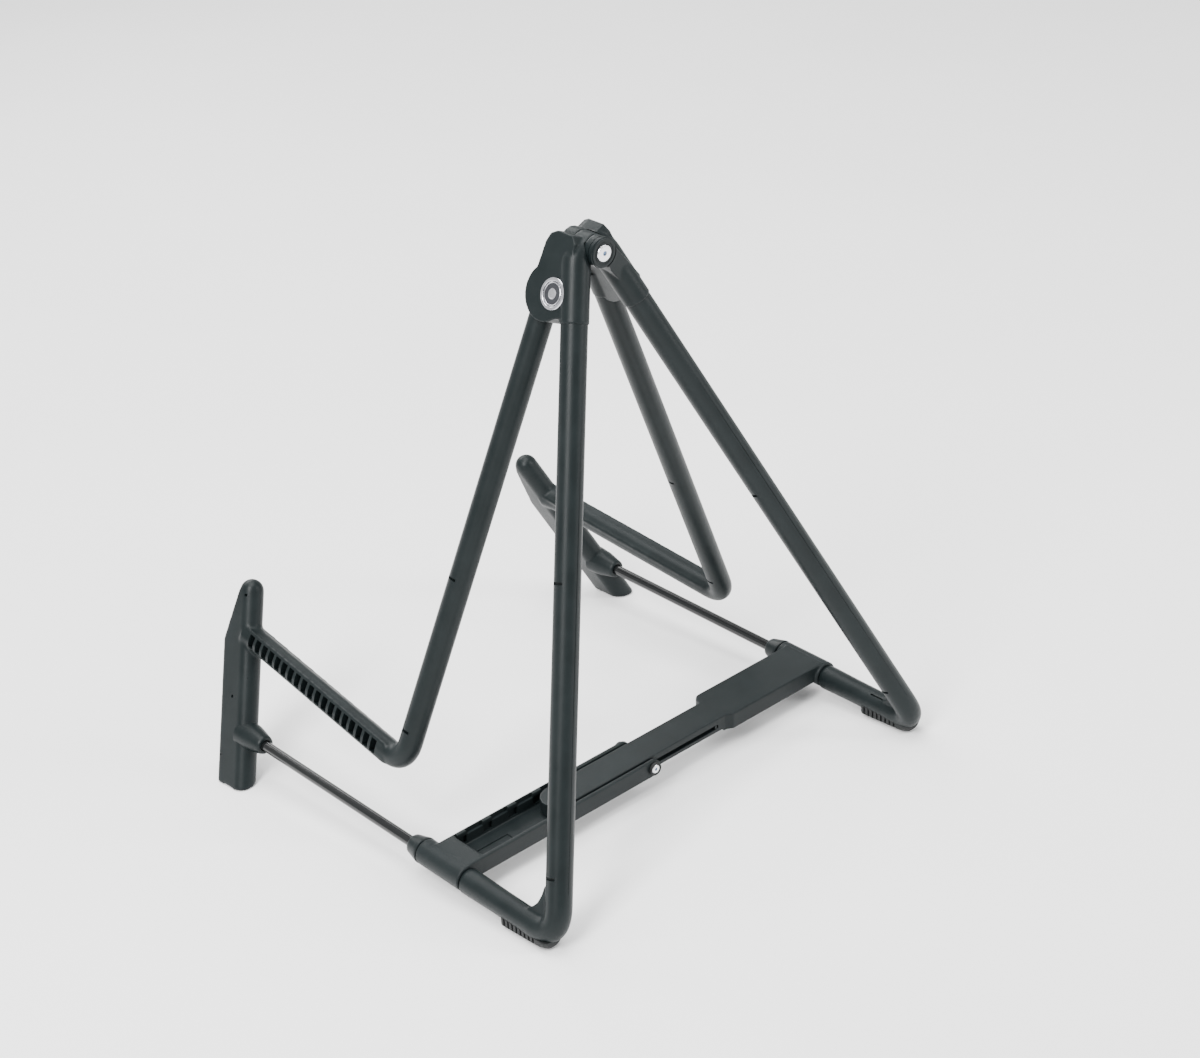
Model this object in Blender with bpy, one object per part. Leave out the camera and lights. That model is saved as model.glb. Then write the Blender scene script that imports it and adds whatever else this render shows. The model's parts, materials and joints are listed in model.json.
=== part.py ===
"""Folding A-frame stand for a French horn, as separate named pieces.

Two leaning side frames meet at an apex hinge.  A two-piece strut with a knee joins their
ground bars.  Each side frame carries a ribbed rest bar that ends in a finned upright.
Lengths are in millimetres until the last step, which turns them into metres.
"""
import math
import bpy
import bmesh
from mathutils import Matrix, Vector

# ---- driving dimensions, mm ------------------------------------------------------------
HALF_SPREAD = 146.0      # ground-bar axis to the middle plane
HINGE_H = 324.5          # apex hinge axis above the ground-bar axes
TILT = 3.8               # degrees the ground bars rise towards the back
LIFT = 8.9              # raises the frame so that the feet touch the floor
LEG_TOP_Y = 113.0        # how far the legs lean back at hinge height
LEG_TOP_OUT = 8.6        # legs stand this far outside the hinge plane at the top
LEG_R, BAR_R, ARM_R = 7.5, 7.25, 7.1
PIN_R, BORE_R = 5.5, 5.56
BARREL_R = 8.4
BARREL_Y = (75.6, 112.6)
CAP_Y = (113.2, 124.0)
ROD_R = 3.25
ROD_Y = (118.0, 273.0)
UP_Y0, UP_SLOPE = 288.0, 0.35   # upright axis at the rod, and its lean
UP_R = 7.3               # the upright is 14.6 thick and flat-sided behind its round front
UP_TOP_Z, UP_LOW_Z = 83.5, -40.0
FIN_BACK = 19.2
ELBOW = (147.8, 35.6)    # y, z of the arm's elbow
ARM_TOP = (127.5, 283.0)
KNUCKLE_R = 8.6
KNUCKLES_RIGHT = ((100.0, 108.0), (118.3, 127.0))
KNUCKLES_LEFT = ((108.3, 118.0),)
HINGE_PIN_R, HINGE_BORE_R = 3.0, 3.06
KNEE = (-2.0, 3.1)       # x, z of the knee
CHEEK_Y = ((75.6, 78.4), (102.2, 105.0))
TONGUE_Y = (79.6, 100.8)
SEG = 32

ALPHA = math.atan2(HALF_SPREAD, HINGE_H)

MATS = {
    'dark_plastic': ((0.045, 0.052, 0.053, 1), 0.0, 0.48),
    'strut_plastic': ((0.055, 0.062, 0.064, 1), 0.0, 0.5),
    'black_rod': ((0.012, 0.013, 0.013, 1), 0.0, 0.18),
    'foot_rubber': ((0.02, 0.021, 0.021, 1), 0.0, 0.8),
    'zinc_screw': ((0.72, 0.73, 0.75, 1), 1.0, 0.3),
    'badge_metal': ((0.55, 0.56, 0.6, 1), 1.0, 0.25),
}

for ob in list(bpy.data.objects):
    bpy.data.objects.remove(ob, do_unlink=True)


def make_material(name, spec):
    mat = bpy.data.materials.new(name)
    mat.use_nodes = True
    bsdf = mat.node_tree.nodes.get('Principled BSDF')
    bsdf.inputs['Base Color'].default_value = spec[0]
    bsdf.inputs['Metallic'].default_value = spec[1]
    bsdf.inputs['Roughness'].default_value = spec[2]
    return mat


# ---- solids ----------------------------------------------------------------------------
def solid(verts, faces, name='tmp'):
    """A mesh object with outward normals, in millimetres."""
    me = bpy.data.meshes.new(name)
    bm = bmesh.new()
    vs = [bm.verts.new(v) for v in verts]
    for f in faces:
        bm.faces.new([vs[i] for i in f])
    bmesh.ops.recalc_face_normals(bm, faces=bm.faces)
    bm.to_mesh(me)
    bm.free()
    ob = bpy.data.objects.new(name, me)
    bpy.context.scene.collection.objects.link(ob)
    return ob


def box(lo, hi):
    v = [(x, y, z) for x in (lo[0], hi[0]) for y in (lo[1], hi[1]) for z in (lo[2], hi[2])]
    return solid(v, [(0, 1, 3, 2), (4, 6, 7, 5), (0, 4, 5, 1), (2, 3, 7, 6), (0, 2, 6, 4),
                     (1, 5, 7, 3)])


def prism(points, push):
    """Polygon of 3-D points extruded by the vector push."""
    n = len(points)
    pts = [Vector(p) for p in points]
    verts = pts + [p + Vector(push) for p in pts]
    faces = [tuple(range(n)), tuple(range(2 * n - 1, n - 1, -1))]
    faces += [(i, (i + 1) % n, n + (i + 1) % n, n + i) for i in range(n)]
    return solid(verts, faces)


def lathe(profile, base, axis, seg=SEG, turn=0.0):
    """Profile of (radius, height) turned about the line base + h * axis."""
    axis = Vector(axis).normalized()
    side = axis.orthogonal().normalized()
    other = axis.cross(side)
    base = Vector(base)
    rings, verts = [], []
    for r, h in profile:
        if r < 1e-6:
            rings.append([len(verts)])
            verts.append(base + axis * h)
            continue
        rings.append(list(range(len(verts), len(verts) + seg)))
        for k in range(seg):
            a = 2 * math.pi * (k + 0.5) / seg + turn
            verts.append(base + axis * h + (side * math.cos(a) + other * math.sin(a)) * r)
    pairs = list(zip(rings, rings[1:]))
    if len(rings[0]) > 1 and len(rings[-1]) > 1:
        pairs.append((rings[-1], rings[0]))
    faces = []
    for a, b in pairs:
        for k in range(seg):
            j = (k + 1) % seg
            quad = [a[k % len(a)], a[j % len(a)], b[j % len(b)], b[k % len(b)]]
            faces.append(tuple(dict.fromkeys(quad)))
    return solid(verts, faces)


def rod(p, q, r, seg=SEG, turn=0.0):
    p, q = Vector(p), Vector(q)
    return lathe([(0, 0), (r, 0), (r, (q - p).length), (0, (q - p).length)], p, q - p, seg, turn)


def sweep(stations, seg=24):
    """A closed tube through (point, radius) stations."""
    pts = [Vector(p) for p, _ in stations]
    tangents = []
    for i in range(len(pts)):
        a, b = pts[max(i - 1, 0)], pts[min(i + 1, len(pts) - 1)]
        tangents.append((b - a).normalized())
    side = tangents[0].orthogonal().normalized()
    verts, faces = [], []
    for i, (p, r) in enumerate(stations):
        t = tangents[i]
        side = (side - t * side.dot(t)).normalized()
        up = t.cross(side)
        for k in range(seg):
            a = 2 * math.pi * k / seg
            verts.append(pts[i] + (side * math.cos(a) + up * math.sin(a)) * r)
    for i in range(len(stations) - 1):
        for k in range(seg):
            j = (k + 1) % seg
            faces.append((i * seg + k, i * seg + j, (i + 1) * seg + j, (i + 1) * seg + k))
    faces.append(tuple(range(seg)))
    faces.append(tuple(range((len(stations) - 1) * seg, len(stations) * seg)))
    return solid(verts, faces)


def boolean(target, tool, mode):
    mod = target.modifiers.new('cut', 'BOOLEAN')
    mod.object, mod.operation, mod.solver = tool, mode, 'EXACT'
    graph = bpy.context.evaluated_depsgraph_get()
    mesh = bpy.data.meshes.new_from_object(target.evaluated_get(graph))
    target.modifiers.clear()
    target.data = mesh
    bpy.data.objects.remove(tool, do_unlink=True)
    return target


def union(first, *rest):
    for ob in rest:
        boolean(first, ob, 'UNION')
    return first


def cut(first, *rest):
    for ob in rest:
        boolean(first, ob, 'DIFFERENCE')
    return first


TO_ROW = Matrix.Translation((0, 0, LIFT)) @ Matrix.Rotation(math.radians(TILT), 4, 'X')


def floor_slab():
    """Everything below the floor, drawn in the frame's own coordinates."""
    slab = box((-400, -200, -100), (400, 500, 0))
    slab.data.transform(TO_ROW.inverted())
    return slab


done = []


def finish(ob, name, mat, pivot=(0, 0, 0)):
    """Name a piece, give it its material and put its origin on its joint axis."""
    me = ob.data
    me.transform(TO_ROW)
    bm = bmesh.new()
    bm.from_mesh(me)
    bmesh.ops.remove_doubles(bm, verts=bm.verts, dist=0.001)
    bmesh.ops.dissolve_degenerate(bm, edges=bm.edges, dist=0.001)
    bmesh.ops.recalc_face_normals(bm, faces=bm.faces)
    bm.to_mesh(me)
    bm.free()
    ob.name = me.name = name
    me.materials.clear()
    me.materials.append(materials[mat])
    done.append((ob, TO_ROW @ Vector(pivot)))
    return ob


# ---- frame-plane helpers ---------------------------------------------------------------
def on_frame(s, y, z, out=0.0):
    """A point of side s (-1 left, +1 right) on the leaning frame plane."""
    return Vector((s * (HALF_SPREAD * (1 - z / HINGE_H) + out), y, z))


def leg_point(s, f):
    """A point of the leg's axis, f = 0 at the ground bar and 1 at hinge height."""
    return Vector((s * (HALF_SPREAD + (LEG_TOP_OUT - HALF_SPREAD) * f), LEG_TOP_Y * f,
                   HINGE_H * f))


def head_point(s, y, t, off):
    """Head coordinates: t up the frame plane from the hinge, off outwards from it."""
    u = Vector((-s * math.sin(ALPHA), 0, math.cos(ALPHA)))
    n = Vector((s * math.cos(ALPHA), 0, math.sin(ALPHA)))
    return Vector((0, y, HINGE_H)) + u * t + n * off


def upright_point(s, z, back=0.0, out=0.0):
    return on_frame(s, UP_Y0 + UP_SLOPE * z + back, z, out)


def arc(a, b, c, radius, n=7):
    """Points of a fillet of the given trim length at corner b."""
    a, b, c = Vector(a), Vector(b), Vector(c)
    p = b + (a - b).normalized() * radius
    q = b + (c - b).normalized() * radius
    out = []
    for i in range(n):
        k = i / (n - 1)
        out.append(p * (1 - k) ** 2 + b * 2 * k * (1 - k) + q * k ** 2)
    return out


# ---- pieces of one side ----------------------------------------------------------------
def rail_path(s, top, extra=0.0):
    """Stations of the leg, the bend and the slightly slimmer ground bar."""
    foot = Vector((s * HALF_SPREAD, 0, -1.4))
    end = Vector((s * HALF_SPREAD, BARREL_Y[0] - 0.3, -0.7))
    round_it = arc(top, foot, end, 18.0)
    return ([(top, LEG_R + extra)] + [(p, LEG_R + extra) for p in round_it]
            + [(round_it[-1] + Vector((0, 6, 0)), BAR_R + extra), (end, BAR_R + extra)])


def make_rail(s):
    rail = sweep(rail_path(s, leg_point(s, 0.878)))
    # neck that carries the strut's barrel
    neck = rod((s * HALF_SPREAD, 60, 0), (s * HALF_SPREAD, BARREL_Y[1] + 0.3, 0), PIN_R, 48)
    web = [on_frame(s, y, z) for y, z in ((4, 1.6), (30, 1.9), (24.6, 6.7), (20.4, 10.2),
                                          (18.3, 14.8), (17.4, 20.6), (14.5, 26.1), (3.5, 9))]
    plate = prism([p - Vector((s * 2.5, 0, 0)) for p in web], (s * 5, 0, 0))
    return union(rail, neck, plate)


def make_cap(s):
    y0, y1 = CAP_Y
    return lathe([(0, 0), (BARREL_R - 0.2, 0), (BARREL_R - 0.6, 2.0), (5.9, y1 - y0 - 1.2),
                  (5.0, y1 - y0), (ROD_R + 0.4, y1 - y0), (ROD_R + 0.4, 4.2), (0, 4.2)],
                 (s * HALF_SPREAD, y0, 0), (0, 1, 0))


def make_pad(s):
    """Rubber sole under the front bend: a wedge of a round section, grooved on both sides."""
    x, half = s * HALF_SPREAD, 6.2
    body = sweep([((x, y, -1.4), r) for y, r in ((3.0, 5.6), (5.0, 7.3), (8.0, 8.5),
                                                (12.0, 8.9), (39.6, 10.4))], 48)
    side = []
    y = 39.6
    while y > 14:
        side += [(half, y), (half, y - 2.0), (half - 1.0, y - 2.15), (half - 1.0, y - 3.35)]
        y -= 3.5
    side += [(half, y), (half, 1.0)]
    plan = side + [(-w, y) for w, y in reversed(side)]
    limit = prism([Vector((x + w, y, -18.0)) for w, y in plan], (0, 0, 13.6))
    body = boolean(body, limit, 'INTERSECT')
    keep = sweep(rail_path(s, leg_point(s, 0.2), 0.25))
    return cut(body, keep, floor_slab())


def make_head(s):
    """Plate, leg socket, arm socket, badge boss and hinge knuckles as one moulding."""
    outline = [(100, -42), (109, -4), (113, 1.5), (126, 1.5), (131.5, -7), (132.5, -30),
               (119, -46)]
    plate = prism([head_point(s, y, t, 1.6) for y, t in outline],
                  head_point(s, 0, 0, 12.0) - head_point(s, 0, 0, 0))
    ridge = rod(leg_point(s, 0.8785 + 0.0006), leg_point(s, 0.995), LEG_R + 0.6)
    arm_top, elbow = on_frame(s, *ARM_TOP, 7.0), on_frame(s, *ELBOW)
    along = (arm_top - elbow).normalized()
    socket = rod(arm_top + along * 0.3, arm_top + along * 24, ARM_R + 0.6)
    boss = rod(head_point(s, 121, -29, 1.0), head_point(s, 121, -29, 14.3), 16.2, 48)
    head = union(plate, ridge, socket, boss)
    mine, other = KNUCKLES_RIGHT, KNUCKLES_LEFT
    if s < 0:
        mine, other = KNUCKLES_LEFT, KNUCKLES_RIGHT
    half = box((-60, 40, 150), (0.25, 200, 400)) if s > 0 else box((-0.25, 40, 150),
                                                                  (60, 200, 400))
    head = cut(head, half)
    for lo, hi in other:
        if lo < 101:
            lo = 80.0
        if hi > 126:
            hi = 160.0
        head = cut(head, rod((0, lo - 0.28, HINGE_H), (0, hi + 0.28, HINGE_H),
                             KNUCKLE_R + 0.4, 48, 0.021))
    for lo, hi in mine:
        # each cylinder is turned a little so that no two facets coincide
        head = union(head, rod((0, lo, HINGE_H), (0, hi, HINGE_H), KNUCKLE_R, 48, lo / 997))
    head = cut(head, rod((0, 90, HINGE_H), (0, 150, HINGE_H), HINGE_BORE_R, 48, 0.037))
    if s > 0:
        head = cut(head, rod((0, 90, HINGE_H), (0, 102, HINGE_H), 5.2, 40, 0.019))
    head = cut(head, rod((0, 127.12, HINGE_H), (0, 150, HINGE_H), 6.1, 40, 0.023))
    # seat of the badge
    return cut(head, rod(head_point(s, 121, -29, 13.4), head_point(s, 121, -29, 20), 9.9, 48))


def make_badge(s):
    return rod(head_point(s, 121, -29, 13.6), head_point(s, 121, -29, 15.2), 9.6)


def make_arm(s):
    """Arm, elbow, ribbed rest bar, upright, fin and rod socket as one moulding."""
    top, elbow = on_frame(s, *ARM_TOP, 7.0), on_frame(s, *ELBOW)
    end = upright_point(s, 52.5)
    stations = [(top, ARM_R)] + [(p, ARM_R) for p in arc(top, elbow, end, 14.0)]
    stations += [(elbow + (end - elbow) * 0.97, ARM_R)]
    arm = sweep(stations)
    # the bar is moulded between two halves that part along the frame plane, so the
    # pockets that lighten it open straight outwards
    out = Vector((s * math.cos(ALPHA), 0, math.sin(ALPHA)))
    up = Vector((-s * math.sin(ALPHA), 0, math.cos(ALPHA)))
    a, b = elbow + Vector((0, 12, 1.0)), end - Vector((0, 4, 0.3))
    ring = [out * -6.3 + up * -4.6, out * -6.3 + up * 6.2, out * 6.3 + up * 6.2,
            out * 6.3 + up * -4.6]
    arm = union(arm, prism([a + r for r in ring], b - a))
    pitch = (b - a) / 20.5
    for i in range(1, 20):
        c = a + pitch * (i + 0.1)
        ring = [out * -1.5 + up * -3.3, out * -1.5 + up * 4.7, out * 9 + up * 4.7,
                out * 9 + up * -3.3]
        arm = cut(arm, prism([c + r for r in ring], pitch * 0.68))
    # the upright, drawn as level sections of (height, reach backwards, half thickness)
    stations = [(UP_LOW_Z, FIN_BACK, UP_R), (46.0, FIN_BACK, UP_R), (75.5, 4.0, UP_R),
                (79.0, 2.2, 6.7), (81.8, 1.0, 5.2), (UP_TOP_Z, 0.4, 3.0)]
    verts, faces, per = [], [], 17
    for z, back, r in stations:
        c = min(2.4, back * 0.5)
        ring = [(-r * math.cos(k), r * math.sin(k))
                for k in [math.pi * (i / 12 - 0.5) for i in range(13)]]
        ring += [(back - c, r), (back, r - c), (back, c - r), (back - c, -r)]
        verts += [upright_point(s, z, b) + out * o for b, o in ring]
    for i in range(len(stations) - 1):
        for k in range(per):
            j = (k + 1) % per
            faces.append((i * per + k, i * per + j, (i + 1) * per + j, (i + 1) * per + k))
    faces.append(tuple(range(per)))
    faces.append(tuple(range((len(stations) - 1) * per, len(stations) * per)))
    upright = solid(verts, faces)
    cone = lathe([(0, -2), (8.2, -2), (7.6, 9), (6.1, 19.5), (5.2, 20.4), (ROD_R + 0.4, 20.4),
                  (ROD_R + 0.4, 12), (0, 12)], (s * HALF_SPREAD, UP_Y0, 0), (0, -1, 0))
    arm = union(arm, upright)
    arm = cut(arm, rod((s * HALF_SPREAD, UP_Y0 - 12.5, 0), (s * HALF_SPREAD, 150, 0), 8.0))
    return cut(union(arm, cone), floor_slab())


def make_rod(s):
    return rod((s * HALF_SPREAD, ROD_Y[0], 0), (s * HALF_SPREAD, ROD_Y[1], 0), ROD_R, 24)


# ---- strut -----------------------------------------------------------------------------
def make_channel():
    w = -HALF_SPREAD
    body = rod((w, BARREL_Y[0], 0), (w, BARREL_Y[1], 0), BARREL_R, 48)
    body = union(body, box((w + 1, CHEEK_Y[0][0], -2.6), (-128, CHEEK_Y[1][1], 8.3)))
    body = union(body, box((-129, CHEEK_Y[0][0] + 1, -2.6), (-80, CHEEK_Y[1][1] - 1, -0.9)))
    for lo, hi in CHEEK_Y:
        wall = box((-129, lo, -2.6), (KNEE[0], hi, 8.3))
        ear = rod((KNEE[0], lo, KNEE[1]), (KNEE[0], hi, KNEE[1]), 5.2)
        body = union(body, wall, ear)
    body = cut(body, rod((w, 70, 0), (w, 120, 0), BORE_R, 48, 0.03))
    for x in (-122.6, -103.6, -84.6, -65.6):
        body = cut(body, box((x - 1.4, 100, 5.4), (x + 1.4, 110, 12)))
    for lo, hi in CHEEK_Y:
        body = cut(body, rod((KNEE[0], lo - 2, KNEE[1]), (KNEE[0], hi + 2, KNEE[1]), 2.1, 24, 0.05))
    return body


def make_knee_screw(front):
    lo, hi = CHEEK_Y[0] if front else CHEEK_Y[1]
    y, d = (lo, 1) if front else (hi, -1)
    return lathe([(0, -2.0), (3.6, -2.0), (4.2, -1.5), (4.2, -0.3), (1.8, -0.3), (1.8, 2.7),
                  (0, 2.7)], (KNEE[0], y, KNEE[1]), (0, d, 0))


def make_slider():
    w = HALF_SPREAD
    y0, y1 = TONGUE_Y
    nose = [(-61, y0), (64, y0), (64, y1), (-61, y1), (-66, y1 - 3), (-68, y1 - 8),
            (-68, y0 + 8), (-66, y0 + 3)]
    body = prism([(x, y, -0.6) for x, y in nose], (0, 0, 9.0))
    plan = [(66, 77.2), (w - 1, 77.2), (w - 1, 108.3), (66, 108.3), (62, 106), (60, y1),
            (60, y0)]
    body = union(body, prism([(x, y, -2.4) for x, y in plan], (0, 0, 10.8)))
    body = union(body, rod((w, BARREL_Y[0], 0), (w, BARREL_Y[1], 0), BARREL_R, 48))
    body = cut(body, rod((w, 70, 0), (w, 120, 0), BORE_R, 48, 0.03))
    return cut(body, box((-5.5, 70, 1.8), (55, y0 + 4, 4.6)))


def make_apex_screw():
    return lathe([(0, 99.5), (4.9, 99.5), (4.9, 101.4), (HINGE_PIN_R, 101.4),
                  (HINGE_PIN_R, 127.3), (5.3, 127.3), (5.3, 129.6), (0, 129.6)],
                 (0, 0, HINGE_H), (0, 1, 0), 48)


# ---- assembly --------------------------------------------------------------------------
materials = {name: make_material(name, spec) for name, spec in MATS.items()}
APEX = (0, 120, HINGE_H)
for s, side in ((-1, 'left'), (1, 'right')):
    pivot = APEX
    finish(make_rail(s), side + '_rail', 'dark_plastic', pivot)
    finish(make_head(s), side + '_head', 'dark_plastic', pivot)
    finish(make_arm(s), side + '_arm', 'dark_plastic', pivot)
    finish(make_rod(s), side + '_rod', 'black_rod', pivot)
    finish(make_cap(s), side + '_bar_cap', 'dark_plastic', pivot)
    finish(make_pad(s), side + '_foot_pad', 'foot_rubber', pivot)
    finish(make_badge(s), side + '_badge', 'badge_metal', pivot)
finish(make_apex_screw(), 'apex_screw', 'zinc_screw', APEX)
LEFT_AXIS, RIGHT_AXIS = (-HALF_SPREAD, 90, 0), (HALF_SPREAD, 90, 0)
finish(make_channel(), 'strut_channel', 'strut_plastic', LEFT_AXIS)
finish(make_knee_screw(True), 'knee_screw_front', 'zinc_screw', LEFT_AXIS)
finish(make_knee_screw(False), 'knee_screw_rear', 'zinc_screw', LEFT_AXIS)
finish(make_slider(), 'strut_slider', 'strut_plastic', RIGHT_AXIS)

# centre on the floor, then millimetres to metres
xs = [v.co for ob, _ in done for v in ob.data.vertices]
mid_y = (min(c.y for c in xs) + max(c.y for c in xs)) / 2
low = min(c.z for c in xs)
for ob, pivot in done:
    ob.data.transform(Matrix.Translation(-pivot))
    ob.data.transform(Matrix.Scale(0.001, 4))
    ob.location = (pivot - Vector((0, mid_y, low))) * 0.001
print('MID_Y', mid_y, 'LOW', low)
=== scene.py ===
# %% [markdown]
# # A folding stand for a French horn
# Two side frames of dark moulded plastic lean together and meet at a hinge. Each carries a
# rest bar that ends in a finned upright, and a strut with a knee joins the frames near the
# floor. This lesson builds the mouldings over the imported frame, which already knows where
# every body is and how it moves.
#
# The mouldings are drawn in millimetres on a "bench": x points from the left frame to the
# right one, y from the front feet back to the uprights, and z = 0 is the height of the
# ground bars. One matrix carries a finished piece from the bench to its place.

# %% Load the frame
import json
import math
import time

import bmesh
import bpy
from mathutils import Matrix, Vector


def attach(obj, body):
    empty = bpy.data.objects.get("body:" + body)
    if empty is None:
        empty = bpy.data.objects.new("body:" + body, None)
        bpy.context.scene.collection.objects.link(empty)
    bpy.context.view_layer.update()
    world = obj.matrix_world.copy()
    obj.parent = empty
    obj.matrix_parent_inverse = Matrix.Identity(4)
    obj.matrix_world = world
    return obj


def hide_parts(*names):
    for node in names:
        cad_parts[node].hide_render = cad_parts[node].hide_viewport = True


started = time.time()
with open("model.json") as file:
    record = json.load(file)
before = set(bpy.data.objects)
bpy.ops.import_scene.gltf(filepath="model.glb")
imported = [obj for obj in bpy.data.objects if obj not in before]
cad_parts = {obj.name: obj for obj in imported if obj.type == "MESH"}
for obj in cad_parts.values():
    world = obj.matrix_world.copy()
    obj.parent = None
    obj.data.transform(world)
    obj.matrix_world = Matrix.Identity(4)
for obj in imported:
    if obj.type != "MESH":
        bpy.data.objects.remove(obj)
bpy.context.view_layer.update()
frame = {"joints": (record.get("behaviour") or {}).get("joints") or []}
joints = {j["name"]: j for j in frame["joints"]}

# %% [markdown]
# ## The bench
# The stand's ground bars rise a little towards the back, so the bench is tilted against the
# floor. Reading the tilt and the spread from the joints keeps the pieces true to the frame.

# %% Bench matrix from the joints
apex = Vector(joints["apex_fold"]["pos_m"])
bar_l = Vector(joints["channel_fold"]["pos_m"])
bar_r = Vector(joints["slider_fold"]["pos_m"])
axis = Vector(joints["apex_fold"]["axis"]).normalized()
TILT = math.atan2(axis.z, axis.y)
TURN = Matrix.Rotation(TILT, 4, "X")
HALF = (bar_r.x - bar_l.x) * 500
RISE = (TURN.inverted() @ (apex - bar_l)).z * 1000
APEX_Y = 120.0
FOLD = math.radians(42.0)      # the frames meet here
BENCH = (Matrix.Translation(apex) @ TURN @ Matrix.Scale(0.001, 4)
         @ Matrix.Translation((0, -APEX_Y, -RISE)))
LEAN = math.atan2(HALF, RISE)
print(f"half spread {HALF:.1f} mm, hinge {RISE:.1f} mm up, tilt {math.degrees(TILT):.1f} deg")

# %% [markdown]
# ## Bench tools
# Each tool adds one closed shape to a bmesh. Shapes may overlap: the moulding step melts
# them into one skin.

# %% Closed shapes
def along(p, q):
    """Matrix that carries the z axis onto the line from p to q, centred between them."""
    p, q = Vector(p), Vector(q)
    turn = (q - p).to_track_quat("Z", "Y").to_matrix().to_4x4()
    return Matrix.Translation((p + q) / 2) @ turn


def add_rod(bm, p, q, r, r2=None, sides=64):
    """Cylinder or cone from p to q."""
    length = (Vector(q) - Vector(p)).length
    bmesh.ops.create_cone(bm, cap_ends=True, cap_tris=False, segments=sides, radius1=r,
                          radius2=r if r2 is None else r2, depth=length, matrix=along(p, q))


def add_ball(bm, centre, r):
    bmesh.ops.create_uvsphere(bm, u_segments=48, v_segments=24, radius=r,
                              matrix=Matrix.Translation(centre))


def add_box(bm, lo, hi):
    lo, hi = Vector(lo), Vector(hi)
    size = Matrix.Diagonal((*(hi - lo), 1.0))
    bmesh.ops.create_cube(bm, size=1.0, matrix=Matrix.Translation((lo + hi) / 2) @ size)


def add_prism(bm, outline, push):
    """A flat outline drawn out by the vector push."""
    face = bm.faces.new([bm.verts.new(p) for p in outline])
    grown = bmesh.ops.extrude_face_region(bm, geom=[face])["geom"]
    tops = [g for g in grown if isinstance(g, bmesh.types.BMVert)]
    bmesh.ops.translate(bm, verts=tops, vec=Vector(push))
    skin = {f for v in tops for f in v.link_faces} | {face}
    bmesh.ops.recalc_face_normals(bm, faces=list(skin))


def add_lathe(bm, profile, base, way, sides=64):
    """A profile of (radius, height) spun about the line from base along way."""
    turn = along(base, Vector(base) + Vector(way))
    turn.translation = Vector(base)
    verts = [bm.verts.new(turn @ Vector((r, 0, h))) for r, h in profile]
    edges = [bm.edges.new(pair) for pair in zip(verts, verts[1:])]
    closed = profile[0][0] > 1e-6 and profile[-1][0] > 1e-6
    if closed:
        edges.append(bm.edges.new((verts[-1], verts[0])))
    before = set(bm.faces)
    bmesh.ops.spin(bm, geom=verts + edges, cent=Vector(base), axis=Vector(way).normalized(),
                   dvec=(0, 0, 0), angle=2 * math.pi, steps=sides, use_merge=True,
                   use_normal_flip=False, use_duplicate=False)
    spun = list({v for f in bm.faces if f not in before for v in f.verts})
    bmesh.ops.remove_doubles(bm, verts=spun, dist=1e-4)
    fresh = [f for f in bm.faces if f not in before]
    bmesh.ops.recalc_face_normals(bm, faces=fresh)


def add_tube(bm, stations, sides=48):
    """A tube pushed through (point, radius) stations, ring after ring."""
    points = [Vector(p) for p, _ in stations]
    ways = [(points[min(i + 1, len(points) - 1)] - points[max(i - 1, 0)]).normalized()
            for i in range(len(points))]
    pose = ways[0].to_track_quat("Z", "Y")
    ring = bmesh.ops.create_circle(bm, cap_ends=False, segments=sides, radius=1.0)["verts"]
    edges = list({e for v in ring for e in v.link_edges})
    start = list(edges)
    last = Matrix.Identity(4)
    skin = []
    for point, radius, way in zip(points, (r for _, r in stations), ways):
        pose = (pose @ Vector((0, 0, 1))).rotation_difference(way) @ pose
        here = (Matrix.Translation(point) @ pose.to_matrix().to_4x4()
                @ Matrix.Scale(radius, 4))
        if point is not points[0]:
            grown = bmesh.ops.extrude_edge_only(bm, edges=edges)["geom"]
            ring = [g for g in grown if isinstance(g, bmesh.types.BMVert)]
            edges = [g for g in grown if isinstance(g, bmesh.types.BMEdge)]
            skin += [g for g in grown if isinstance(g, bmesh.types.BMFace)]
        bmesh.ops.transform(bm, matrix=here @ last.inverted(), verts=ring)
        last = here
    caps = bmesh.ops.holes_fill(bm, edges=start, sides=0)["faces"]
    caps += bmesh.ops.holes_fill(bm, edges=edges, sides=0)["faces"]
    bmesh.ops.recalc_face_normals(bm, faces=skin + caps)


def bend(a, b, c, trim, count=11):
    """Points that round the corner b, trimmed that far from it on both sides."""
    a, b, c = Vector(a), Vector(b), Vector(c)
    p, q = b + (a - b).normalized() * trim, b + (c - b).normalized() * trim
    steps = [i / (count - 1) for i in range(count)]
    return [p * (1 - k) ** 2 + b * 2 * k * (1 - k) + q * k ** 2 for k in steps]


print("shapes: rod, ball, box, prism, lathe, tube")


# %% [markdown]
# ## Melting, carving and placing
# Real mouldings have a fillet wherever two shapes meet. A voxel remesh turns overlapping
# shapes into one skin, and a few passes of smoothing round every edge, as the toolmaker
# does. Details that must stay crisp, such as slits and pockets, are carved afterwards.

# %% Melt, carve, place
def settle(obj):
    """Turn the modifiers into mesh."""
    graph = bpy.context.evaluated_depsgraph_get()
    mesh = bpy.data.meshes.new_from_object(obj.evaluated_get(graph))
    old = obj.data
    obj.modifiers.clear()
    obj.data = mesh
    bpy.data.meshes.remove(old)
    return obj


def as_object(name, bm):
    mesh = bpy.data.meshes.new(name)
    bm.to_mesh(mesh)
    bm.free()
    obj = bpy.data.objects.new(name, mesh)
    bpy.context.scene.collection.objects.link(obj)
    return obj


def soften(obj, grain, passes):
    """Remesh a piece into one skin and round its edges; grain is the voxel in mm."""
    skin = obj.modifiers.new("skin", "REMESH")
    skin.mode = "VOXEL"
    skin.voxel_size = grain
    skin.adaptivity = 0.0
    if passes:
        soft = obj.modifiers.new("soft", "SMOOTH")
        soft.factor, soft.iterations = 0.5, passes
    return settle(obj)


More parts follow.
